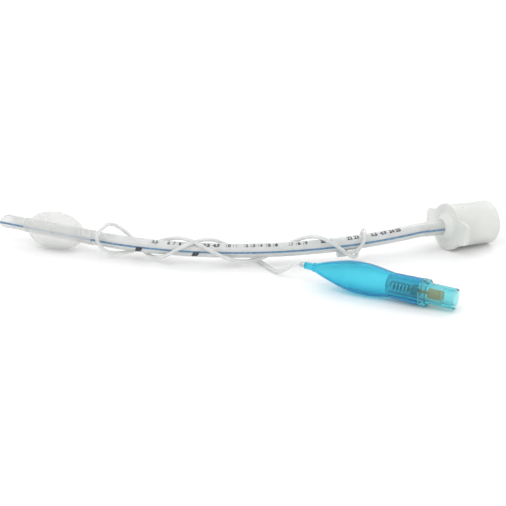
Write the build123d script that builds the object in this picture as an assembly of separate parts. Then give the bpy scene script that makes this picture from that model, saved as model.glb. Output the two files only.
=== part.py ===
from build123d import *
import math
import os

# Cuffed tracheal tube of 3.5 mm bore, lying on a table with its inflation line wrapped round it.
# Millimetres. X runs from the patient end to the connector, Y away from the viewer, Z up from the
# table. The origin is under the middle of the tube, cuff and connector.

# Tube wall
TUBE_OUTER_RADIUS = 2.45
TUBE_BORE_RADIUS = 1.75
LUMEN_RADIUS = 0.2
LUMEN_ANGLE = -62.0
STRIPE_WIDTH = 0.7
STRIPE_DEPTH = 0.25
STRIPE_ANGLE = 0.0
BEVEL_ANGLE = 58.0
BEVEL_LIP_ANGLE = -15.0

# Route of the tube: a straight patient end, one long bend, a short bend and a straight machine end
BEND_START = Vector(-54.33, -2.82, 6.13)
DISTAL_RUN = 37.6
BEND_RADIUS = 142.0
BETWEEN_BENDS = 0.5
SHORT_BEND_RADIUS = 30.0
STRAIGHT_LEAD = 0.5
DISTAL_YAW = -23.5
DISTAL_PITCH = -2.3
BEND_END_YAW = 22.2
BEND_END_PITCH = 4.79
CONNECTOR_YAW = 27.0
CONNECTOR_PITCH = -2.5

# Stretched end of the tube over the connector's spigot
SPIGOT_LENGTH = 7.0
SPIGOT_OUTER_RADIUS = 1.95
SPIGOT_BORE_RADIUS = 1.45
SPIGOT_LEAD = 0.8
SPIGOT_NOSE = 0.2
STRETCHED_WALL = 0.65

# Cuff
CUFF_RADIUS = 6.75
CUFF_HALF_LENGTH = 10.9
CUFF_KEPT = 0.95
CUFF_RIM = 0.6
CUFF_LAP = 0.7
CUFF_FILM = 0.15
CUFF_TIP_COLLAR = 1.5
CUFF_TIP_COLLAR_WALL = 0.25
CUFF_END_COLLAR = 5.3
CUFF_END_COLLAR_WALL = 0.35
CUFF_BOND = 0.02
NOTCH_LENGTH = 2.4
NOTCH_WIDTH = 0.5
PLUG_LENGTH = 4.0

# Connector with a 15 mm cone
CONE_END_RADIUS = 7.7
CONE_LENGTH = 16.4
CONE_LAND_LENGTH = 10.0
CONE_TAPER = 1 / 40
CONE_MOUTH_ROUND = 0.5
CONNECTOR_BORE_RADIUS = 6.15
CONNECTOR_FUNNEL_LENGTH = 3.6
CONNECTOR_BASE_WALL = 1.2
HUB_TIP_RADIUS = 3.3
HUB_BASE_RADIUS = 5.2
HUB_LENGTH = 2.1
FLANGE_RADIUS = 8.34
FLANGE_THICKNESS = 1.8
FLANGE_ROUND = 0.3
EAR_REACH = 12.3
EAR_WIDTH = 8.0
EAR_CORNER = 2.4
EAR_SETBACK = 0.1

# Inflation line
LINE_RADIUS = 0.65
LINE_CLEARANCE = 0.05
LINE_BOND_ALONG = 88.2
LINE_BOND_RADIUS = 1.05
LINE_BOND_LENGTH = 4.0
LINE_BOND_CAP = 0.8
LINE_BOND_NOSE = 0.6
LINE_BOND_FOOT = 2.4
LINE_BOND_SEAT = 0.1
LINE_BOND_GAP = 0.03
LINE_BOND_LEAD = 1.6
FERRULE_LENGTH = 1.8
FERRULE_TIP_RADIUS = 0.85
FERRULE_BASE_RADIUS = 1.05
ARC_SHARE = 0.45

# Quarter turns of the line round the tube, from its bond to the far loop at the cuff and back:
# distance along the long bend, and reach from the tube's centre line
LINE_QUARTERS = (
    (95.6, 4.4), (97.4, 4.1), (97.0, 4.4), (92.8, 5.4), (85.5, 4.6), (77.5, 3.9), (67.0, 3.9), (54.5, 4.0),
    (43.0, 3.9), (32.0, 3.9), (19.0, 3.9), (7.6, 4.5), (3.0, 5.0), (5.6, 6.4), (15.0, 4.6), (24.2, 3.9),
    (32.5, 3.9), (42.5, 3.9), (51.5, 4.0),
)
LINE_FIRST_ANGLE = 20.0
LINE_EXIT = (93.4, -22.0, 4.2)
LINE_FREE_POINTS = (
    (-1.3, -8.4, 2.2), (2.1, -9.1, 1.0), (4.1, -12.2, 0.8), (5.7, -15.6, 0.8), (7.5, -19.2, 0.8),
    (9.5, -22.6, 0.9), (11.7, -25.4, 2.2), (13.5, -27.7, 4.2),
)

# Pilot balloon and check valve, measured along their common axis from the neck's tip
PILOT_START = Vector(19.1, -31.0, 6.31)
PILOT_YAW = -28.0
PILOT_PITCH = -2.35
NECK_LENGTH = 3.2
NECK_RADIUS = 1.2
NECK_BORE_RADIUS = 0.5
NECK_RING_RADIUS = 1.5
NECK_RING_LENGTH = 0.7
BALLOON_LENGTH = 27.6
BALLOON_RADIUS = 5.25
BALLOON_END_RADIUS = 4.1
BALLOON_WIDEST_AT = 0.58
BALLOON_SHOULDER_AT = 0.27
BALLOON_SHOULDER_RADIUS = 3.78
BALLOON_FILM = 0.3
SLEEVE_LENGTH = 10.2
SLEEVE_END_RADIUS = 4.35
BARREL_RADIUS = 3.3
BARREL_BORE_RADIUS = 2.2
BARREL_BOND = 0.02
BARREL_INSET = 1.3
VALVE_WEB = 0.8
SPRING_WEB = 0.8
WEB_HOLE_RADIUS = 0.8
AIR_HOLE_RADIUS = 0.5
VALVE_FLANGE_RADIUS = 4.5
VALVE_FLANGE_THICKNESS = 2.4
VALVE_FLANGE_ROUND = 0.4
PORT_RADIUS = 3.45
PORT_LENGTH = 9.2
LUER_RADIUS = 2.08
LUER_DEPTH = 4.2
CHAMBER_RADIUS = 2.4
ACTUATOR_RADIUS = 1.7
ACTUATOR_BELOW_MOUTH = 4.4
ACTUATOR_LENGTH = 4.8
STEM_RADIUS = 0.55
SEAL_RADIUS = 1.8
SEAL_LENGTH = 2.0
SEAL_CLEARANCE = 0.05
HEAD_RADIUS = 0.62
HEAD_LENGTH = 1.4
SPRING_WIRE_RADIUS = 0.2
SPRING_RADIUS = 1.3
SPRING_TURNS = 6
SPRING_CLEARANCE = 0.05

VERTICAL = Vector(0, 0, 1)


def heading(yaw, pitch):
    """Unit direction from a turn about the vertical and a rise above the level, in degrees."""
    level = math.cos(math.radians(pitch))
    return Vector(
        level * math.cos(math.radians(yaw)),
        level * math.sin(math.radians(yaw)),
        math.sin(math.radians(pitch)),
    )


def corner_reach(radius, before, after):
    """Distance from a corner to where an arc of this radius leaves its two runs."""
    return radius * math.tan(math.radians(before.get_angle(after)) / 2)


def rounded_route(points, radii):
    """Straight runs joined by an arc that is tangent to both of its runs at each corner."""
    edges = []
    here = points[0]
    for before, corner, after, radius in zip(points, points[1:], points[2:], radii):
        arriving = (corner - before).normalized()
        leaving = (after - corner).normalized()
        reach = corner_reach(radius, arriving, leaving)
        inward = (leaving - arriving).normalized()
        middle = corner + inward * (math.hypot(radius, reach) - radius)
        edges.append(Line(here, corner - arriving * reach))
        edges.append(ThreePointArc(corner - arriving * reach, middle, corner + leaving * reach))
        here = corner + leaving * reach
    edges.append(Line(here, points[-1]))
    return Wire(edges)


def facing(direction):
    """Level unit direction at right angles to a run, toward the viewer."""
    return direction.cross(VERTICAL).normalized()


def plane_on(origin, direction):
    """Plane across a run, with its x axis toward the viewer."""
    return Plane(origin=origin, x_dir=facing(direction), z_dir=direction)


distal = heading(DISTAL_YAW, DISTAL_PITCH)
bend_exit = heading(BEND_END_YAW, BEND_END_PITCH)
machine = heading(CONNECTOR_YAW, CONNECTOR_PITCH)
pilot = heading(PILOT_YAW, PILOT_PITCH)

tube_tip = BEND_START - distal * DISTAL_RUN
bend_corner = BEND_START + distal * corner_reach(BEND_RADIUS, distal, bend_exit)
bend_end = bend_corner + bend_exit * corner_reach(BEND_RADIUS, distal, bend_exit)
short_corner = bend_end + bend_exit * (BETWEEN_BENDS + corner_reach(SHORT_BEND_RADIUS, bend_exit, machine))
spigot_start = short_corner + machine * corner_reach(SHORT_BEND_RADIUS, bend_exit, machine)
stretch_start = spigot_start + machine * STRAIGHT_LEAD
tube_end = stretch_start + machine * SPIGOT_LENGTH
cuff_joint = CUFF_HALF_LENGTH * CUFF_KEPT
cuff_centre = BEND_START - distal * (CUFF_END_COLLAR + cuff_joint)
stretched_radius = SPIGOT_OUTER_RADIUS + STRETCHED_WALL


def polar(radius, angle):
    """Point of a cross-section, with the angle up from the side that faces the viewer."""
    return radius * math.cos(math.radians(angle)), -radius * math.sin(math.radians(angle))


def bend_place(along):
    """Centre and direction of the tube this far along its long bend."""
    inward = (bend_exit - distal * bend_exit.dot(distal)).normalized()
    angle = along / BEND_RADIUS
    centre = (
        BEND_START
        + distal * (BEND_RADIUS * math.sin(angle))
        + inward * (BEND_RADIUS * (1 - math.cos(angle)))
    )
    return centre, distal * math.cos(angle) + inward * math.sin(angle)


def beside_tube(along, angle, reach):
    """Point beside the long bend, at an angle up from the side that faces the viewer."""
    centre, direction = bend_place(along)
    front = facing(direction)
    upward = front.cross(direction)
    turned = math.radians(angle)
    return centre + front * (reach * math.cos(turned)) + upward * (reach * math.sin(turned))


def turned_solid(*outline):
    """Solid of revolution about Z from (radius, height) points."""
    return revolve(Plane.XZ * make_face(Polyline(*outline, close=True)), axis=Axis.Z)


def disc(radius, bottom, top):
    """Plain cylinder about Z between two heights."""
    return Pos(0, 0, bottom) * Cylinder(radius, top - bottom, align=(Align.CENTER, Align.CENTER, Align.MIN))


def stretched_shape(inner_start, inner_end):
    """Tube's widened end as a solid about Z, hollow from these two radii."""
    return turned_solid(
        (inner_start, 0), (TUBE_OUTER_RADIUS, 0), (stretched_radius, SPIGOT_LEAD),
        (stretched_radius, SPIGOT_LENGTH), (inner_end, SPIGOT_LENGTH), (inner_end, SPIGOT_LEAD),
    )


def make_stripe(route):
    """Radiopaque line let into the wall, flush with it also where the end is stretched."""
    floor = TUBE_OUTER_RADIUS - STRIPE_DEPTH
    profile = Rectangle(TUBE_OUTER_RADIUS, STRIPE_WIDTH, align=(Align.MIN, Align.CENTER))
    section = Rot(0, 0, -STRIPE_ANGLE) * (Pos(floor, 0) * profile)
    run = sweep(plane_on(tube_tip, distal) * (section & Circle(TUBE_OUTER_RADIUS)), path=route)
    end = extrude(section, SPIGOT_LENGTH) & stretched_shape(floor / 2, floor / 2)
    return run + plane_on(stretch_start, machine).location * end


def make_stretched_end():
    """End of the tube where the spigot widens it."""
    sleeve = stretched_shape(TUBE_BORE_RADIUS, SPIGOT_OUTER_RADIUS)
    return plane_on(stretch_start, machine).location * sleeve


def bevel_cutter():
    """Block that slants the patient end, with its long lip at the lip angle."""
    setback = TUBE_OUTER_RADIUS / math.tan(math.radians(BEVEL_ANGLE))
    size = 6 * TUBE_OUTER_RADIUS
    block = Box(size, size, size, align=(Align.CENTER, Align.CENTER, Align.MAX))
    slant = Rot(0, 90 - BEVEL_ANGLE, 0) * block
    aimed = Rot(0, 0, -BEVEL_LIP_ANGLE) * (Pos(0, 0, setback) * slant)
    return plane_on(tube_tip, distal).location * aimed


def notch_cutter(place, direction):
    """Opening from the tube's outside into the lumen in its wall."""
    reach = TUBE_OUTER_RADIUS - TUBE_BORE_RADIUS
    x, y = polar(TUBE_OUTER_RADIUS, LUMEN_ANGLE)
    block = Pos(x, y, 0) * Rot(0, 0, -LUMEN_ANGLE) * Box(reach, NOTCH_WIDTH, NOTCH_LENGTH)
    return plane_on(place, direction).location * block


def make_tube(route, stripe):
    """Tube wall with its inflation lumen, bevelled tip and stretched end."""
    wall_centre = (TUBE_OUTER_RADIUS + TUBE_BORE_RADIUS) / 2
    tip_plane = plane_on(tube_tip, distal)
    lumen = Pos(*polar(wall_centre, LUMEN_ANGLE)) * Circle(LUMEN_RADIUS)
    tube = sweep(tip_plane * Circle(TUBE_OUTER_RADIUS), path=route)
    tube -= sweep(tip_plane * Circle(TUBE_BORE_RADIUS), path=route)
    tube -= sweep(tip_plane * lumen, path=route)
    tube += make_stretched_end()
    bond_centre, bond_direction = bend_place(LINE_BOND_ALONG)
    tube -= bevel_cutter()
    tube -= notch_cutter(cuff_centre, distal)
    tube -= notch_cutter(bond_centre, bond_direction)
    return tube - stripe


def make_lumen_plug():
    """Cured seal in the lumen between the cuff and the patient end."""
    wall_centre = (TUBE_OUTER_RADIUS + TUBE_BORE_RADIUS) / 2
    x, y = polar(wall_centre, LUMEN_ANGLE)
    plug = Pos(x, y, 0) * disc(LUMEN_RADIUS, 0, PLUG_LENGTH)
    start = cuff_centre - distal * (NOTCH_LENGTH / 2 + PLUG_LENGTH)
    return plane_on(start, distal).location * plug


def half_ellipse(radius, half_length):
    """Half of an ellipse beside Z, as a face to revolve."""
    curve = EllipticalCenterArc((0, 0), radius, half_length, start_angle=-90, arc_size=180)
    return make_face(curve + Line((0, half_length), (0, -half_length)))


def make_cuff():
    """Thin inflated film with a bonded collar at each end."""
    tip_radius = TUBE_OUTER_RADIUS + CUFF_TIP_COLLAR_WALL
    end_radius = TUBE_OUTER_RADIUS + CUFF_END_COLLAR_WALL
    seat_radius = TUBE_OUTER_RADIUS + CUFF_BOND
    film = revolve(Plane.XZ * half_ellipse(CUFF_RADIUS, CUFF_HALF_LENGTH), axis=Axis.Z)
    air = revolve(
        Plane.XZ * half_ellipse(CUFF_RADIUS - CUFF_FILM, CUFF_HALF_LENGTH - CUFF_FILM), axis=Axis.Z
    )
    air &= disc(CUFF_RADIUS, CUFF_RIM - cuff_joint, cuff_joint - CUFF_RIM)
    film &= disc(2 * CUFF_RADIUS, -cuff_joint, cuff_joint)
    tip_collar = disc(tip_radius, -cuff_joint - CUFF_TIP_COLLAR, CUFF_LAP - cuff_joint)
    end_collar = disc(end_radius, cuff_joint - CUFF_LAP, cuff_joint + CUFF_END_COLLAR)
    cuff = film + tip_collar + end_collar - air
    cuff -= disc(seat_radius, -cuff_joint - 2 * CUFF_TIP_COLLAR, cuff_joint + 2 * CUFF_END_COLLAR)
    return plane_on(cuff_centre, distal).location * cuff


def make_connector():
    """Moulded connector: spigot, hub, eared flange and 15 mm cone, with a funnelled bore."""
    flange_top = HUB_LENGTH + FLANGE_THICKNESS
    mouth = flange_top + CONE_LENGTH
    land_bottom = mouth - CONE_LAND_LENGTH
    cone_base_radius = CONE_END_RADIUS + (land_bottom - flange_top) * CONE_TAPER / 2
    funnel_bottom = CONNECTOR_BASE_WALL
    funnel_top = funnel_bottom + CONNECTOR_FUNNEL_LENGTH
    body = turned_solid(
        (0, -SPIGOT_LENGTH), (SPIGOT_OUTER_RADIUS - SPIGOT_NOSE, -SPIGOT_LENGTH),
        (SPIGOT_OUTER_RADIUS, SPIGOT_LEAD - SPIGOT_LENGTH), (SPIGOT_OUTER_RADIUS, 0), (HUB_TIP_RADIUS, 0),
        (HUB_BASE_RADIUS, HUB_LENGTH), (cone_base_radius, HUB_LENGTH), (cone_base_radius, flange_top),
        (CONE_END_RADIUS, land_bottom), (CONE_END_RADIUS, mouth), (0, mouth),
    )
    rim = body.edges().filter_by(GeomType.CIRCLE).sort_by(Axis.Z)[-1]
    body = fillet(rim, CONE_MOUTH_ROUND)
    flange = disc(FLANGE_RADIUS, HUB_LENGTH, flange_top)
    flange = fillet(flange.edges().filter_by(GeomType.CIRCLE), FLANGE_ROUND)
    plate = Rectangle(2 * EAR_REACH, EAR_WIDTH)
    plate = fillet(plate.vertices(), EAR_CORNER)
    ears = extrude(Pos(0, 0, HUB_LENGTH + EAR_SETBACK) * plate, FLANGE_THICKNESS - 2 * EAR_SETBACK)
    bore = turned_solid(
        (0, -2 * SPIGOT_LENGTH), (SPIGOT_BORE_RADIUS, -2 * SPIGOT_LENGTH), (SPIGOT_BORE_RADIUS, funnel_bottom),
        (CONNECTOR_BORE_RADIUS, funnel_top), (CONNECTOR_BORE_RADIUS, 2 * mouth), (0, 2 * mouth),
    )
    return plane_on(tube_end, machine).location * (body + flange + ears - bore)


bond_reach = TUBE_OUTER_RADIUS + LINE_BOND_RADIUS - LINE_BOND_SEAT


def make_line_bond():
    """Bonded boss that holds the line's end over the lumen."""
    centre, direction = bend_place(LINE_BOND_ALONG)
    x, y = polar(bond_reach, LUMEN_ANGLE)
    half = LINE_BOND_LENGTH / 2
    boss = Pos(x, y, 0) * disc(LINE_BOND_RADIUS, -half, half)
    boss = fillet(boss.edges().filter_by(GeomType.CIRCLE).sort_by(Axis.Z)[0], LINE_BOND_NOSE)
    foot_x, foot_y = polar(bond_reach - LINE_BOND_RADIUS / 2, LUMEN_ANGLE)
    foot = Rot(0, 0, -LUMEN_ANGLE) * Box(LINE_BOND_RADIUS, 2 * LINE_BOND_RADIUS, LINE_BOND_FOOT)
    bore = Pos(x, y, 0) * disc(LINE_RADIUS + LINE_CLEARANCE, LINE_BOND_CAP - half, 2 * half)
    seat = disc(TUBE_OUTER_RADIUS + LINE_BOND_GAP, -2 * half, 2 * half)
    solid = boss + Pos(foot_x, foot_y, 0) * foot - bore - seat
    return plane_on(centre, direction).location * solid


def line_points():
    """Route of the line: its bond, the turns round the tube, the free strand and the pilot's neck."""
    middle = beside_tube(LINE_BOND_ALONG, LUMEN_ANGLE, bond_reach)
    direction = bend_place(LINE_BOND_ALONG)[1]
    points = [
        middle + direction * (LINE_BOND_CAP - LINE_BOND_LENGTH / 2),
        middle + direction * (LINE_BOND_LENGTH / 2 + LINE_BOND_LEAD),
        beside_tube(*LINE_EXIT),
    ]
    for index, (along, reach) in enumerate(LINE_QUARTERS):
        angle = LINE_FIRST_ANGLE + 90 * index
        if index:
            before_along, before_reach = LINE_QUARTERS[index - 1]
            between = (before_along + along) / 2
            points.append(beside_tube(between, angle - 45, (before_reach + reach) / 2))
        points.append(beside_tube(along, angle, reach))
    points += [Vector(*point) for point in LINE_FREE_POINTS]
    points.append(PILOT_START - pilot * 2 * FERRULE_LENGTH)
    points.append(PILOT_START)
    return points


def corner_radii(points):
    """Largest arc that the two runs at each corner of the line allow."""
    radii = []
    for before, corner, after in zip(points, points[1:], points[2:]):
        turn = math.radians((corner - before).get_angle(after - corner))
        shorter = min((corner - before).length, (after - corner).length)
        radii.append(ARC_SHARE * shorter / math.tan(turn / 2))
    return radii


def make_line():
    """Limp inflation line as one solid strand."""
    points = line_points()
    radii = corner_radii(points)
    path = rounded_route(points, radii)
    line = sweep(plane_on(points[0], points[1] - points[0]) * Circle(LINE_RADIUS), path=path)
    section = math.pi * LINE_RADIUS ** 2
    print("line length", round(path.length, 1), "volume over section", round(line.volume / section, 1))
    print("line radii", [round(radius, 1) for radius in radii])
    return line


def on_pilot(solid):
    """Move a solid that is drawn about Z onto the pilot's axis."""
    return plane_on(PILOT_START, pilot).location * solid


balloon_start = NECK_LENGTH + NECK_RING_LENGTH
sleeve_start = balloon_start + BALLOON_LENGTH
sleeve_end = sleeve_start + SLEEVE_LENGTH
barrel_start = sleeve_start - BARREL_INSET
web_start = sleeve_end - VALVE_WEB
port_start = sleeve_end + VALVE_FLANGE_THICKNESS
port_mouth = port_start + PORT_LENGTH
actuator_top = port_mouth - ACTUATOR_BELOW_MOUTH
actuator_bottom = actuator_top - ACTUATOR_LENGTH
seal_bottom = web_start - SEAL_LENGTH - SEAL_CLEARANCE
spring_bottom = barrel_start + SPRING_WEB


def make_ferrule():
    """Flared clear sleeve that holds the line to the pilot's neck."""
    bore = LINE_RADIUS + LINE_CLEARANCE
    return on_pilot(turned_solid(
        (bore, -FERRULE_LENGTH), (FERRULE_TIP_RADIUS, -FERRULE_LENGTH), (FERRULE_BASE_RADIUS, 0), (bore, 0),
    ))


def balloon_outline(inset):
    """Swelling outline of the balloon, from the neck's ring to the sleeve, moved in by a wall."""
    start_radius = NECK_RING_RADIUS - inset
    widest = balloon_start + BALLOON_LENGTH * BALLOON_WIDEST_AT
    shoulder = balloon_start + BALLOON_LENGTH * BALLOON_SHOULDER_AT
    return Spline(
        (start_radius, balloon_start), (BALLOON_SHOULDER_RADIUS - inset, shoulder),
        (BALLOON_RADIUS - inset, widest), (BALLOON_END_RADIUS - inset, sleeve_start),
    )


def make_pilot_balloon():
    """Blue pilot balloon with its neck and the sleeve that grips the valve."""
    outline = balloon_outline(0)
    outer = make_face(
        Polyline((0, 0), (NECK_RADIUS, 0), (NECK_RADIUS, NECK_LENGTH), (NECK_RING_RADIUS, NECK_LENGTH), outline @ 0)
        + outline
        + Polyline(outline @ 1, (SLEEVE_END_RADIUS, sleeve_end), (0, sleeve_end), (0, 0))
    )
    hollow = balloon_outline(BALLOON_FILM)
    air = make_face(
        Polyline((0, balloon_start), hollow @ 0) + hollow
        + Polyline(hollow @ 1, (0, sleeve_start), (0, balloon_start))
    )
    body = revolve(Plane.XZ * outer, axis=Axis.Z) - revolve(Plane.XZ * air, axis=Axis.Z)
    body -= disc(NECK_BORE_RADIUS, -NECK_LENGTH, 2 * balloon_start)
    body -= disc(BARREL_RADIUS + BARREL_BOND, barrel_start, 2 * sleeve_end)
    return on_pilot(body)


def make_valve_body():
    """Valve housing: barrel in the sleeve, flange, and syringe port with its socket."""
    luer_bottom = port_mouth - LUER_DEPTH
    body = disc(BARREL_RADIUS, barrel_start, sleeve_end)
    flange = disc(VALVE_FLANGE_RADIUS, sleeve_end, port_start)
    body += fillet(flange.edges().filter_by(GeomType.CIRCLE), VALVE_FLANGE_ROUND)
    body += disc(PORT_RADIUS, port_start, port_mouth)
    body -= disc(BARREL_BORE_RADIUS, spring_bottom, web_start)
    body -= disc(AIR_HOLE_RADIUS, barrel_start, spring_bottom)
    body -= disc(WEB_HOLE_RADIUS, web_start, sleeve_end)
    body -= disc(CHAMBER_RADIUS, sleeve_end, luer_bottom)
    body -= disc(LUER_RADIUS, luer_bottom, port_mouth)
    return on_pilot(body)


def make_poppet():
    """Plunger: the block that a syringe pushes, its stem and its head behind the seal."""
    head_bottom = seal_bottom - HEAD_LENGTH
    return on_pilot(
        disc(ACTUATOR_RADIUS, actuator_bottom, actuator_top)
        + disc(STEM_RADIUS, seal_bottom, actuator_bottom)
        + disc(HEAD_RADIUS, head_bottom, seal_bottom)
    )


def make_seal():
    """Elastomer seal on the stem, pressed up to the web by the spring."""
    return on_pilot(
        disc(SEAL_RADIUS, seal_bottom, seal_bottom + SEAL_LENGTH)
        - disc(STEM_RADIUS, seal_bottom, seal_bottom + SEAL_LENGTH)
    )


def make_spring():
    """Compression spring round the poppet's head, between the barrel's end and the seal."""
    low = spring_bottom + SPRING_WIRE_RADIUS + SPRING_CLEARANCE
    high = seal_bottom - SPRING_WIRE_RADIUS - SPRING_CLEARANCE
    coil = Helix(pitch=(high - low) / SPRING_TURNS, height=high - low, radius=SPRING_RADIUS)
    wire = sweep(Plane(origin=coil @ 0, z_dir=coil % 0) * Circle(SPRING_WIRE_RADIUS), path=coil, is_frenet=True)
    return on_pilot(Pos(0, 0, low) * wire)


def build_parts():
    """Every piece by its node's name."""
    route = rounded_route(
        [tube_tip, bend_corner, short_corner, stretch_start],
        [BEND_RADIUS, SHORT_BEND_RADIUS],
    )
    stripe = make_stripe(route)
    tube = make_tube(route, stripe)
    return {
        "tube_shaft": tube,
        "radiopaque_line": stripe - bevel_cutter(),
        "lumen_plug": make_lumen_plug(),
        "cuff": make_cuff(),
        "connector": make_connector(),
        "line_bond": make_line_bond(),
        "inflation_line": make_line(),
        "line_ferrule": make_ferrule(),
        "pilot_balloon": make_pilot_balloon(),
        "valve_body": make_valve_body(),
        "valve_poppet": make_poppet(),
        "valve_seal": make_seal(),
        "valve_spring": make_spring(),
    }


os.makedirs("parts", exist_ok=True)
for name, solid in build_parts().items():
    box = solid.bounding_box()
    print(name, [round(value, 2) for value in (*box.min, *box.max)])
    export_step(solid, f"parts/{name}.step")
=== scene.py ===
import math

import bmesh
import bpy
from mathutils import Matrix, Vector


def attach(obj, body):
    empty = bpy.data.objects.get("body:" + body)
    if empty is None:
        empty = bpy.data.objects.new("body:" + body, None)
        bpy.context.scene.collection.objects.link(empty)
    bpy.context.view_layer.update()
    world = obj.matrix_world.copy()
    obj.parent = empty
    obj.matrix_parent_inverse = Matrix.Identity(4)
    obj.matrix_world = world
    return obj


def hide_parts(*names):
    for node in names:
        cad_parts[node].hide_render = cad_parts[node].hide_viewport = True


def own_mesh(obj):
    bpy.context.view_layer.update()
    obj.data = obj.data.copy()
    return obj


# Cuffed tracheal tube with its inflation line, pilot balloon and check valve. Metres, in the CAD frame:
# X from the patient end to the connector, Y away from the viewer, Z up from the table.
MM = 0.001

# Photograph's view
VIEW_TARGET = Vector((1.67, -1.72, 0)) * MM
VIEW_DISTANCE = 0.5
VIEW_ELEVATION = 20.0
VIEW_WIDTH = 0.1796
SENSOR_WIDTH = 36.0

# Tube, as the CAD source has it
TUBE_RADIUS = 2.45 * MM
BEND_START = Vector((-54.33, -2.82, 6.13)) * MM
BEND_RADIUS = 142.0 * MM
DISTAL_YAW = -23.5
DISTAL_PITCH = -2.3
BEND_END_YAW = 22.2
BEND_END_PITCH = 4.79

# Cuff, measured along the tube from its middle
CUFF_RADIUS = 6.75 * MM
CUFF_HALF_LENGTH = 10.9 * MM
CUFF_JOINT = 0.95 * CUFF_HALF_LENGTH
CUFF_FILM = 0.15 * MM
CUFF_SEAT = 2.47 * MM
CUFF_TIP_COLLAR = 1.5 * MM
CUFF_TIP_COLLAR_RADIUS = 2.7 * MM
CUFF_END_COLLAR = 5.3 * MM
CUFF_END_COLLAR_RADIUS = 2.8 * MM
CUFF_BLEND = 7.0
CUFF_PLEATS = 14
CUFF_PLEAT_DEPTH = 0.05 * MM
CUFF_PLEAT_REACH = 2.2 * MM
CUFF_PLEAT_AT = 0.86
CUFF_PLEAT_TWIST = 3
CUFF_COLLAR_MARGIN = 1.04
CUFF_STEPS = 72
CUFF_SIDES = 96

# Inflation line
LINE_DIAMETER = 1.3 * MM
LINE_BOND_ALONG = 88.2
LINE_BOND_ANGLE = -62.0
LINE_BOND_REACH = 3.4
LINE_START_AT = -1.2
LINE_LEAVES_AT = 3.6
LINE_EXIT = (93.4, -22.0, 4.2)
LINE_QUARTERS = (
    (95.6, 4.4), (97.4, 4.1), (97.0, 4.4), (92.8, 5.4), (85.5, 4.6), (77.5, 3.9), (67.0, 3.9), (54.5, 4.0),
    (43.0, 3.9), (32.0, 3.9), (19.0, 3.9), (7.6, 4.5), (3.0, 5.0), (5.6, 6.4), (15.0, 4.6), (24.2, 3.9),
    (32.5, 3.9), (42.5, 3.9), (51.5, 4.0),
)
LINE_FIRST_ANGLE = 20.0
LINE_FREE_POINTS = (
    (-1.3, -8.4, 2.2), (2.1, -9.1, 1.0), (4.1, -12.2, 0.8), (5.7, -15.6, 0.8), (7.5, -19.2, 0.8),
    (9.5, -22.6, 0.9), (11.7, -25.4, 2.2), (13.5, -27.7, 4.2),
)
FERRULE_LENGTH = 1.8

# Pilot balloon, measured along its axis from the neck's tip
PILOT_START = Vector((19.1, -31.0, 6.31)) * MM
PILOT_YAW = -28.0
PILOT_PITCH = -2.35
NECK_RADIUS = 1.2 * MM
NECK_BORE = 0.5 * MM
NECK_LENGTH = 3.2 * MM
RING_RADIUS = 1.5 * MM
BALLOON_START = 3.9 * MM
BALLOON_RADII = (
    (3.9, 1.5), (7.6, 2.75), (11.4, 3.85), (15.6, 4.85), (20.0, 5.25), (24.2, 5.15), (28.2, 4.6),
    (31.5, 4.12),
)
BALLOON_FILM = 0.7 * MM
BALLOON_STEPS = 44
BALLOON_SIDES = 72
SLEEVE_START = 31.5 * MM
SLEEVE_END = 41.7 * MM
SLEEVE_END_RADIUS = 4.35 * MM
SLEEVE_BORE = 3.32 * MM

# Spring of the check valve, measured along the same axis
SPRING_BOTTOM = 31.0 * MM
SPRING_TOP = 38.85 * MM
SPRING_WIRE_RADIUS = 0.2 * MM
SPRING_RADIUS = 1.3 * MM
SPRING_CLEARANCE = 0.05 * MM
SPRING_TURNS = 6
SPRING_STEPS_A_TURN = 32
SPRING_SIDES = 12

# Print on the tube: plain numbers and two depth marks only
PRINT_ANGLE = 63.0
PRINT_RELIEF = 0.012 * MM
PRINT_LIFT = 0.006 * MM
PRINT_SIZE = 1.9 * MM
PRINT_GROUPS = (
    (22.4, "3.5", 0.08), (28.0, "6  7  8", 0.08), (40.6, "3.5  4.9", 0.12), (48.2, "10 11", 0.08),
    (54.2, "12 13 14", 0.08), (61.9, "15 16", 0.12), (69.7, "17 18 19", 0.08), (81.0, "20 21", 0.1),
    (90.3, "22 23", 0.08), (99.0, "3.5  4.9  24 25", 0.11),
)
MARK_PLACES = (17.9, 38.0)
MARK_LENGTH = 2.2 * MM
MARK_LOW = -46.0
MARK_HIGH = 2.0
MARK_SLANT = 0.5 * MM


def heading(yaw, pitch):
    """Unit direction from a turn about the vertical and a rise above the level, in degrees."""
    level = math.cos(math.radians(pitch))
    return Vector((
        level * math.cos(math.radians(yaw)),
        level * math.sin(math.radians(yaw)),
        math.sin(math.radians(pitch)),
    ))


distal = heading(DISTAL_YAW, DISTAL_PITCH)
bend_exit = heading(BEND_END_YAW, BEND_END_PITCH)
pilot = heading(PILOT_YAW, PILOT_PITCH)
cuff_centre = BEND_START - distal * (CUFF_END_COLLAR + CUFF_JOINT)


def facing(direction):
    """Level unit direction at right angles to a run, toward the viewer."""
    return direction.cross(Vector((0, 0, 1))).normalized()


def bend_place(along):
    """Centre and direction of the tube this far along its long bend."""
    inward = (bend_exit - distal * bend_exit.dot(distal)).normalized()
    angle = along / BEND_RADIUS
    forward = distal * (BEND_RADIUS * math.sin(angle))
    centre = BEND_START + forward + inward * (BEND_RADIUS * (1 - math.cos(angle)))
    return centre, distal * math.cos(angle) + inward * math.sin(angle)


def beside_tube(along, angle, reach):
    """Point beside the long bend, at an angle in degrees up from the side that faces the viewer."""
    centre, direction = bend_place(along)
    front = facing(direction)
    upward = front.cross(direction)
    turned = math.radians(angle)
    return centre + front * (reach * math.cos(turned)) + upward * (reach * math.sin(turned))


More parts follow.
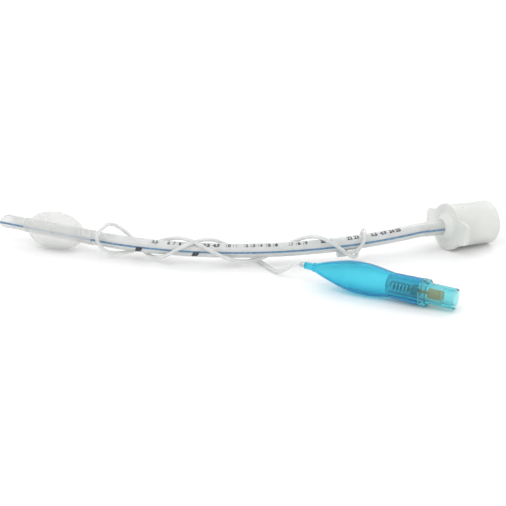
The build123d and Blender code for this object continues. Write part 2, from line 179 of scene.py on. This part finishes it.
def line_points():
    """Route of the inflation line, the same as in the CAD source."""
    middle = beside_tube(LINE_BOND_ALONG * MM, LINE_BOND_ANGLE, LINE_BOND_REACH * MM)
    direction = bend_place(LINE_BOND_ALONG * MM)[1]
    points = [middle + direction * (LINE_START_AT * MM), middle + direction * (LINE_LEAVES_AT * MM)]
    along, angle, reach = LINE_EXIT
    points.append(beside_tube(along * MM, angle, reach * MM))
    for index, (along, reach) in enumerate(LINE_QUARTERS):
        angle = LINE_FIRST_ANGLE + 90 * index
        if index:
            before_along, before_reach = LINE_QUARTERS[index - 1]
            between = (before_along + along) / 2
            points.append(beside_tube(between * MM, angle - 45, (before_reach + reach) / 2 * MM))
        points.append(beside_tube(along * MM, angle, reach * MM))
    points += [Vector(point) * MM for point in LINE_FREE_POINTS]
    points.append(PILOT_START - pilot * (2 * FERRULE_LENGTH * MM))
    points.append(PILOT_START)
    return points


# Materials


def new_material(name, color, roughness, **sockets):
    """Principled material with these values on the shader's own sockets."""
    material = bpy.data.materials.new(name)
    material.use_nodes = True
    shader = material.node_tree.nodes["Principled BSDF"]
    shader.inputs["Base Color"].default_value = (*color, 1)
    shader.inputs["Roughness"].default_value = roughness
    for socket, value in sockets.items():
        shader.inputs[socket.replace("_", " ")].default_value = value
    return material


def add_noise(material, scale, detail=3.0):
    """Noise in the object's own space, as a node."""
    nodes = material.node_tree.nodes
    links = material.node_tree.links
    place = nodes.new("ShaderNodeTexCoord")
    noise = nodes.new("ShaderNodeTexNoise")
    noise.inputs["Scale"].default_value = scale
    noise.inputs["Detail"].default_value = detail
    links.new(place.outputs["Object"], noise.inputs["Vector"])
    return noise


def vary_colour(material, scale, dark, light, low=0.35, high=0.65):
    """Cloudy variation of the base colour between two tones."""
    nodes = material.node_tree.nodes
    links = material.node_tree.links
    noise = add_noise(material, scale)
    ramp = nodes.new("ShaderNodeValToRGB")
    ramp.color_ramp.elements[0].position = low
    ramp.color_ramp.elements[0].color = (*dark, 1)
    ramp.color_ramp.elements[1].position = high
    ramp.color_ramp.elements[1].color = (*light, 1)
    links.new(noise.outputs["Fac"], ramp.inputs["Fac"])
    links.new(ramp.outputs["Color"], nodes["Principled BSDF"].inputs["Base Color"])


def vary_gloss(material, scale, low, high):
    """Roughness that wanders between two values, as handling marks do."""
    nodes = material.node_tree.nodes
    links = material.node_tree.links
    noise = add_noise(material, scale)
    spread = nodes.new("ShaderNodeMapRange")
    spread.inputs["To Min"].default_value = low
    spread.inputs["To Max"].default_value = high
    links.new(noise.outputs["Fac"], spread.inputs["Value"])
    links.new(spread.outputs["Result"], nodes["Principled BSDF"].inputs["Roughness"])


def roughen(material, scale, strength, distance):
    """Fine surface relief from noise."""
    nodes = material.node_tree.nodes
    links = material.node_tree.links
    noise = add_noise(material, scale, detail=5.0)
    bump = nodes.new("ShaderNodeBump")
    bump.inputs["Strength"].default_value = strength
    bump.inputs["Distance"].default_value = distance
    links.new(noise.outputs["Fac"], bump.inputs["Height"])
    links.new(bump.outputs["Normal"], nodes["Principled BSDF"].inputs["Normal"])


def absorb(material, color, density):
    """Colour that deepens with the thickness that light passes through."""
    nodes = material.node_tree.nodes
    links = material.node_tree.links
    volume = nodes.new("ShaderNodeVolumeAbsorption")
    volume.inputs["Color"].default_value = (*color, 1)
    volume.inputs["Density"].default_value = density
    links.new(volume.outputs["Volume"], nodes["Material Output"].inputs["Volume"])


def tube_material():
    """Clear plasticised PVC with a slight cloudiness."""
    material = new_material(
        "tube_pvc", (0.88, 0.89, 0.88), 0.2, Transmission_Weight=0.5, IOR=1.3, Coat_Weight=0.3,
    )
    vary_colour(material, 260, (0.84, 0.86, 0.85), (0.92, 0.93, 0.92))
    vary_gloss(material, 500, 0.14, 0.3)
    roughen(material, 900, 0.12, 0.00005)
    return material


def stripe_material():
    """Blue stripe seen through the skin of the wall."""
    material = new_material("radiopaque_blue", (0.07, 0.18, 0.32), 0.3, Coat_Weight=0.3)
    vary_colour(material, 700, (0.06, 0.17, 0.3), (0.13, 0.26, 0.41))
    roughen(material, 1500, 0.1, 0.00003)
    return material


def cuff_material():
    """Thin milky film."""
    material = new_material("cuff_film", (0.8, 0.81, 0.79), 0.4, Alpha=0.3, Coat_Weight=0.25)
    vary_colour(material, 160, (0.76, 0.77, 0.75), (0.84, 0.85, 0.83))
    roughen(material, 420, 0.08, 0.0001)
    return material


def connector_material():
    """Translucent natural polypropylene."""
    material = new_material("connector_white", (0.86, 0.87, 0.84), 0.3, Transmission_Weight=0.3, IOR=1.35)
    vary_colour(material, 120, (0.82, 0.84, 0.81), (0.89, 0.9, 0.87))
    vary_gloss(material, 350, 0.22, 0.42)
    roughen(material, 1100, 0.15, 0.00006)
    return material


def line_material():
    """Clear limp PVC line."""
    material = new_material("line_pvc", (0.86, 0.87, 0.86), 0.25, Transmission_Weight=0.4, IOR=1.3)
    vary_colour(material, 420, (0.82, 0.83, 0.82), (0.89, 0.9, 0.89))
    roughen(material, 1200, 0.1, 0.00004)
    return material


def bond_material():
    """Cured clear bond."""
    material = new_material("bond_clear", (0.86, 0.88, 0.88), 0.18, Transmission_Weight=0.5, IOR=1.35)
    vary_colour(material, 500, (0.80, 0.83, 0.83), (0.89, 0.90, 0.90))
    roughen(material, 900, 0.25, 0.0001)
    return material


def ferrule_material():
    """Clear flared sleeve."""
    material = new_material("ferrule_clear", (0.84, 0.9, 0.92), 0.15, Transmission_Weight=0.6, IOR=1.3)
    vary_colour(material, 600, (0.76, 0.84, 0.87), (0.88, 0.92, 0.93))
    roughen(material, 1200, 0.1, 0.00004)
    return material


def balloon_material():
    """Bright clear blue film, deeper where it is thicker."""
    material = new_material(
        "pilot_blue", (0.7, 0.97, 0.98), 0.16, Transmission_Weight=0.95, IOR=1.1, Coat_Weight=0.1,
    )
    vary_colour(material, 130, (0.64, 0.94, 0.96), (0.74, 0.98, 0.99))
    absorb(material, (0.01, 0.83, 0.93), 1450)
    roughen(material, 500, 0.1, 0.00006)
    return material


def valve_material():
    """Clear teal moulding."""
    material = new_material(
        "valve_teal", (0.8, 0.97, 0.97), 0.1, Transmission_Weight=0.92, IOR=1.15, Coat_Weight=0.3,
    )
    vary_colour(material, 200, (0.74, 0.95, 0.96), (0.84, 0.98, 0.98))
    absorb(material, (0.2, 0.84, 0.88), 600)
    roughen(material, 800, 0.08, 0.00004)
    return material


def plunger_material():
    """Amber brown moulded plunger."""
    material = new_material("plunger_amber", (1.0, 0.25, 0.02), 0.4)
    vary_colour(material, 450, (0.95, 0.22, 0.01), (1.0, 0.3, 0.03))
    roughen(material, 1300, 0.2, 0.00005)
    return material


def seal_material():
    """Dark green elastomer."""
    material = new_material("seal_green", (0.02, 0.24, 0.2), 0.55)
    vary_colour(material, 600, (0.015, 0.18, 0.15), (0.03, 0.30, 0.25))
    roughen(material, 1600, 0.3, 0.00005)
    return material


def spring_material():
    """Drawn stainless wire."""
    material = new_material("spring_steel", (0.06, 0.065, 0.07), 0.35, Metallic=1.0)
    vary_colour(material, 900, (0.04, 0.045, 0.05), (0.09, 0.095, 0.1))
    vary_gloss(material, 1500, 0.2, 0.4)
    return material


def ink_material():
    """Black pad-printed ink."""
    material = new_material("printed_ink", (0.02, 0.025, 0.03), 0.5)
    vary_colour(material, 1200, (0.012, 0.016, 0.02), (0.06, 0.07, 0.08))
    roughen(material, 2500, 0.3, 0.00003)
    return material


def floor_material():
    """Plain white paper sweep."""
    material = new_material("floor_white", (0.93, 0.93, 0.93), 0.9)
    roughen(material, 300, 0.05, 0.0002)
    return material


# Meshes


def mesh_object(name, mesh):
    """Linked object for a mesh."""
    thing = bpy.data.objects.new(name, mesh)
    bpy.context.scene.collection.objects.link(thing)
    return thing


def finish_piece(thing, material):
    """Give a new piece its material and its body."""
    thing.data.materials.append(material)
    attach(thing, "tube_set")
    return thing


def smooth(mesh, angle=35):
    """Shade smoothly except over sharp edges."""
    mesh.shade_smooth()
    mesh.set_sharp_from_angle(angle=math.radians(angle))


def turned_mesh(name, outline, origin, direction, steps, swell=None):
    """Closed ring-shaped mesh turned about an axis from (radius, height) points, with an optional
    change of the radius by height and angle."""
    front = facing(direction)
    upward = front.cross(direction)
    body = bmesh.new()
    rings = []
    for radius, height in outline:
        ring = []
        for step in range(steps):
            turn = 2 * math.pi * step / steps
            reach = radius + (swell(radius, height, turn) if swell else 0)
            spoke = front * math.cos(turn) + upward * math.sin(turn)
            ring.append(body.verts.new(origin + direction * height + spoke * reach))
        rings.append(ring)
    for ring, following in zip(rings, rings[1:] + rings[:1]):
        for step in range(steps):
            after = (step + 1) % steps
            body.faces.new((ring[step], ring[after], following[after], following[step]))
    bmesh.ops.recalc_face_normals(body, faces=body.faces)
    mesh = bpy.data.meshes.new(name)
    body.to_mesh(mesh)
    body.free()
    smooth(mesh)
    return mesh


def cuff_radius(height, thickness):
    """Radius of the cuff's film or collar at this height, less a wall."""
    share = min(abs(height) / CUFF_HALF_LENGTH, 1.0)
    film = CUFF_RADIUS * math.sqrt(1 - share ** 2) - thickness
    collar = CUFF_TIP_COLLAR_RADIUS if height < 0 else CUFF_END_COLLAR_RADIUS
    floor = CUFF_SEAT if thickness else collar
    return (max(film, 0) ** CUFF_BLEND + floor ** CUFF_BLEND) ** (1 / CUFF_BLEND)


def pleat(radius, height, turn):
    """Shallow lengthwise folds where the film gathers into its collars."""
    from_joint = (abs(height) - CUFF_JOINT * CUFF_PLEAT_AT) / CUFF_PLEAT_REACH
    if radius < CUFF_END_COLLAR_RADIUS * CUFF_COLLAR_MARGIN:
        return 0
    fold = math.cos(CUFF_PLEATS * turn + CUFF_PLEAT_TWIST * height / CUFF_RADIUS)
    return CUFF_PLEAT_DEPTH * math.exp(-from_joint ** 2) * fold


def make_cuff():
    """Inflated film with its two bonded collars, one closed skin."""
    low = -CUFF_JOINT - CUFF_TIP_COLLAR
    high = CUFF_JOINT + CUFF_END_COLLAR
    heights = [low + (high - low) * step / CUFF_STEPS for step in range(CUFF_STEPS + 1)]
    outline = [(cuff_radius(height, 0), height) for height in heights]
    outline += [(cuff_radius(height, CUFF_FILM), height) for height in reversed(heights)]
    mesh = turned_mesh("cuff_film", outline, cuff_centre, distal, CUFF_SIDES, pleat)
    cuff = mesh_object("cuff_film", mesh)
    finish_piece(cuff, cuff_material())
    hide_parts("cuff")
    return cuff


def balloon_radius(height):
    """Smooth radius of the balloon through its measured places."""
    places = BALLOON_RADII
    at = height / MM
    for index in range(len(places) - 1):
        if at <= places[index + 1][0] or index == len(places) - 2:
            break
    before = places[max(index - 1, 0)]
    start, end = places[index], places[index + 1]
    after = places[min(index + 2, len(places) - 1)]
    width = end[0] - start[0]
    share = min(max((at - start[0]) / width, 0), 1)
    leave = (end[1] - before[1]) / (end[0] - before[0]) * width
    arrive = (after[1] - start[1]) / (after[0] - start[0]) * width
    square = share ** 2
    cube = share ** 3
    value = (
        (2 * cube - 3 * square + 1) * start[1] + (cube - 2 * square + share) * leave
        + (3 * square - 2 * cube) * end[1] + (cube - square) * arrive
    )
    return value * MM


def make_balloon():
    """Pilot balloon with its neck, its ring and the sleeve over the valve's barrel."""
    reach = SLEEVE_START - BALLOON_START
    heights = [BALLOON_START + reach * step / BALLOON_STEPS for step in range(BALLOON_STEPS + 1)]
    outline = [(NECK_BORE, 0), (NECK_RADIUS, 0), (NECK_RADIUS, NECK_LENGTH), (RING_RADIUS, NECK_LENGTH)]
    outline += [(balloon_radius(height), height) for height in heights]
    outline += [(SLEEVE_END_RADIUS, SLEEVE_END), (SLEEVE_BORE, SLEEVE_END), (SLEEVE_BORE, SLEEVE_START)]
    outline += [(balloon_radius(height) - BALLOON_FILM, height) for height in reversed(heights)]
    outline += [(NECK_BORE, BALLOON_START)]
    mesh = turned_mesh("pilot_balloon_film", outline, PILOT_START, pilot, BALLOON_SIDES)
    balloon = mesh_object("pilot_balloon_film", mesh)
    finish_piece(balloon, balloon_material())
    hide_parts("pilot_balloon")
    return balloon


def make_spring():
    """Coil round the plunger, from its bottom to its top along the valve's axis."""
    front = facing(pilot)
    upward = front.cross(pilot)
    low = SPRING_BOTTOM + SPRING_WIRE_RADIUS + SPRING_CLEARANCE
    high = SPRING_TOP - SPRING_WIRE_RADIUS - SPRING_CLEARANCE
    steps = SPRING_TURNS * SPRING_STEPS_A_TURN
    body = bmesh.new()
    rings = []
    for step in range(steps + 1):
        turn = 2 * math.pi * step / SPRING_STEPS_A_TURN
        spoke = front * math.cos(turn) + upward * math.sin(turn)
        sideways = upward * math.cos(turn) - front * math.sin(turn)
        centre = PILOT_START + pilot * (low + (high - low) * step / steps) + spoke * SPRING_RADIUS
        rise = (high - low) / SPRING_TURNS / (2 * math.pi * SPRING_RADIUS)
        across = (sideways + pilot * rise).normalized().cross(spoke)
        ring = []
        for side in range(SPRING_SIDES):
            round_wire = 2 * math.pi * side / SPRING_SIDES
            skin = spoke * math.cos(round_wire) + across * math.sin(round_wire)
            ring.append(body.verts.new(centre + skin * SPRING_WIRE_RADIUS))
        rings.append(ring)
    for ring, following in zip(rings, rings[1:]):
        for side in range(SPRING_SIDES):
            after = (side + 1) % SPRING_SIDES
            body.faces.new((ring[side], ring[after], following[after], following[side]))
    body.faces.new(rings[0])
    body.faces.new(rings[-1])
    bmesh.ops.recalc_face_normals(body, faces=body.faces)
    mesh = bpy.data.meshes.new("valve_spring_coil")
    body.to_mesh(mesh)
    body.free()
    smooth(mesh)
    coil = mesh_object("valve_spring_coil", mesh)
    finish_piece(coil, spring_material())
    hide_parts("valve_spring")
    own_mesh(coil)
    return coil


def make_line():
    """Limp inflation line as one smooth strand."""
    points = line_points()
    curve = bpy.data.curves.new("inflation_line_strand", "CURVE")
    curve.dimensions = "3D"
    spline = curve.splines.new("NURBS")
    spline.points.add(len(points) - 1)
    for control, point in zip(spline.points, points):
        control.co = (*point, 1)
    spline.order_u = 3
    spline.use_endpoint_u = True
    spline.resolution_u = 8
    curve.bevel_depth = LINE_DIAMETER / 2
    curve.bevel_resolution = 4
    curve.use_fill_caps = True
    line = mesh_object("inflation_line_strand", curve)
    finish_piece(line, line_material())
    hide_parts("inflation_line")
    return line


def wrap_on_tube(mesh, along, angle):
    """Lay a flat mesh on the tube's skin, its x along the tube and its y round it."""
    for vertex in mesh.vertices:
        x, y, z = vertex.co
        turned = angle + math.degrees(y / TUBE_RADIUS)
        vertex.co = beside_tube(along + x, turned, TUBE_RADIUS + PRINT_LIFT + z)


def subdivided(mesh, cuts):
    """Cut every edge so that a flat mesh can follow the skin."""
    body = bmesh.new()
    body.from_mesh(mesh)
    bmesh.ops.triangulate(body, faces=body.faces)
    bmesh.ops.subdivide_edges(body, edges=body.edges, cuts=cuts, use_grid_fill=True)
    body.to_mesh(mesh)
    body.free()


def number_mesh(text, offset):
    """Flat mesh of a printed number."""
    curve = bpy.data.curves.new("number", "FONT")
    curve.body = text
    curve.size = PRINT_SIZE
    curve.extrude = PRINT_RELIEF / 2
    curve.offset = offset * MM
    curve.align_y = "CENTER"
    curve.resolution_u = 3
    holder = mesh_object("number", curve)
    bpy.context.view_layer.update()
    mesh = bpy.data.meshes.new_from_object(holder.evaluated_get(bpy.context.evaluated_depsgraph_get()))
    bpy.data.objects.remove(holder)
    subdivided(mesh, 1)
    return mesh


def mark_mesh():
    """Solid slanted block of a depth mark, flat, with its y from the middle of its height."""
    rows = 8
    columns = 4
    half = math.radians(MARK_HIGH - MARK_LOW) / 2 * TUBE_RADIUS
    body = bmesh.new()
    layers = []
    for level in (-PRINT_RELIEF / 2, PRINT_RELIEF / 2):
        grid = []
        for row in range(rows + 1):
            up = 2 * row / rows - 1
            reach = MARK_LENGTH / 2 * (1 - 0.28 * max(-up, 0) ** 3)
            line = [
                body.verts.new((MARK_SLANT * up + reach * (2 * column / columns - 1), half * up, level))
                for column in range(columns + 1)
            ]
            grid.append(line)
        layers.append(grid)
    for grid in layers:
        for row in range(rows):
            for column in range(columns):
                near, far = grid[row], grid[row + 1]
                body.faces.new((near[column], near[column + 1], far[column + 1], far[column]))
    low, high = layers
    rim = [(0, column) for column in range(columns)] + [(row, columns) for row in range(rows)]
    rim += [(rows, column) for column in range(columns, 0, -1)] + [(row, 0) for row in range(rows, 0, -1)]
    for (row, column), (next_row, next_column) in zip(rim, rim[1:] + rim[:1]):
        body.faces.new((
            low[row][column], low[next_row][next_column], high[next_row][next_column], high[row][column],
        ))
    bmesh.ops.recalc_face_normals(body, faces=body.faces)
    mesh = bpy.data.meshes.new("depth_mark")
    body.to_mesh(mesh)
    body.free()
    return mesh


def make_print():
    """Numbers along the upper side and the two depth marks."""
    ink = ink_material()
    for index, (along, text, offset) in enumerate(PRINT_GROUPS):
        mesh = number_mesh(text, offset)
        wrap_on_tube(mesh, along * MM, PRINT_ANGLE)
        finish_piece(mesh_object(f"printed_numbers_{index + 1}", mesh), ink)
    for index, along in enumerate(MARK_PLACES):
        mesh = mark_mesh()
        wrap_on_tube(mesh, along * MM, (MARK_LOW + MARK_HIGH) / 2)
        finish_piece(mesh_object(f"depth_mark_{index + 1}", mesh), ink)


def dress_nodes(nodes):
    """Give each CAD node that stays its finish."""
    finishes = {
        "tube_shaft": tube_material, "radiopaque_line": stripe_material, "lumen_plug": bond_material,
        "line_bond": bond_material, "connector": connector_material, "line_ferrule": ferrule_material,
        "valve_body": valve_material, "valve_poppet": plunger_material, "valve_seal": seal_material,
    }
    made = {}
    for name, finish in finishes.items():
        if finish not in made:
            made[finish] = finish()
        node = nodes[name]
        node.data.materials.clear()
        node.data.materials.append(made[finish])
        smooth(node.data, 30)


# Room


def make_camera():
    """Camera at the photograph's view."""
    elevation = math.radians(VIEW_ELEVATION)
    data = bpy.data.cameras.new("photo_camera")
    data.sensor_width = SENSOR_WIDTH
    data.lens = SENSOR_WIDTH * VIEW_DISTANCE / VIEW_WIDTH
    data.clip_start = 0.01
    camera = bpy.data.objects.new("photo_camera", data)
    camera.location = VIEW_TARGET + VIEW_DISTANCE * Vector((0, -math.cos(elevation), math.sin(elevation)))
    camera.rotation_euler = (math.pi / 2 - elevation, 0, 0)
    bpy.context.scene.collection.objects.link(camera)
    bpy.context.scene.camera = camera


def add_light(name, place, size, power):
    """Large soft light that looks at the middle of the object."""
    data = bpy.data.lights.new(name, "AREA")
    data.size = size
    data.energy = power
    light = bpy.data.objects.new(name, data)
    light.location = place
    light.rotation_euler = (-Vector(place)).to_track_quat("-Z", "Y").to_euler()
    bpy.context.scene.collection.objects.link(light)


def make_room():
    """White sweep, even white surroundings and two soft lights."""
    mesh = bpy.data.meshes.new("floor")
    half = 3.0
    corners = [(-half, -half, 0), (half, -half, 0), (half, half, 0), (-half, half, 0)]
    mesh.from_pydata(corners, [], [(0, 1, 2, 3)])
    floor = mesh_object("floor", mesh)
    floor.data.materials.append(floor_material())
    world = bpy.data.worlds.new("white_room")
    world.use_nodes = True
    world.node_tree.nodes["Background"].inputs["Color"].default_value = (1, 1, 1, 1)
    world.node_tree.nodes["Background"].inputs["Strength"].default_value = 0.95
    bpy.context.scene.world = world
    add_light("key", (-0.25, -0.35, 0.75), 0.7, 1.8)
    add_light("back", (0.3, 0.5, 0.6), 0.6, 1.2)
    bpy.context.scene.view_settings.view_transform = "Standard"


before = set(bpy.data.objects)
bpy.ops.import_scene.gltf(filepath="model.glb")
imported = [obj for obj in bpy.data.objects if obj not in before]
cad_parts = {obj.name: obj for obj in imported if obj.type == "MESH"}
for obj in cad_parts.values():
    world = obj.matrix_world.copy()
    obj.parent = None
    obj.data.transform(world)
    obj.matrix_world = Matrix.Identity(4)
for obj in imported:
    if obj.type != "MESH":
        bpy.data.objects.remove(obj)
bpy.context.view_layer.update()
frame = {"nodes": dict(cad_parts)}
make_camera()
dress_nodes(frame["nodes"])
pilot_film = make_balloon()
coil_spring = make_spring()
make_line()
make_cuff()
make_print()
make_room()
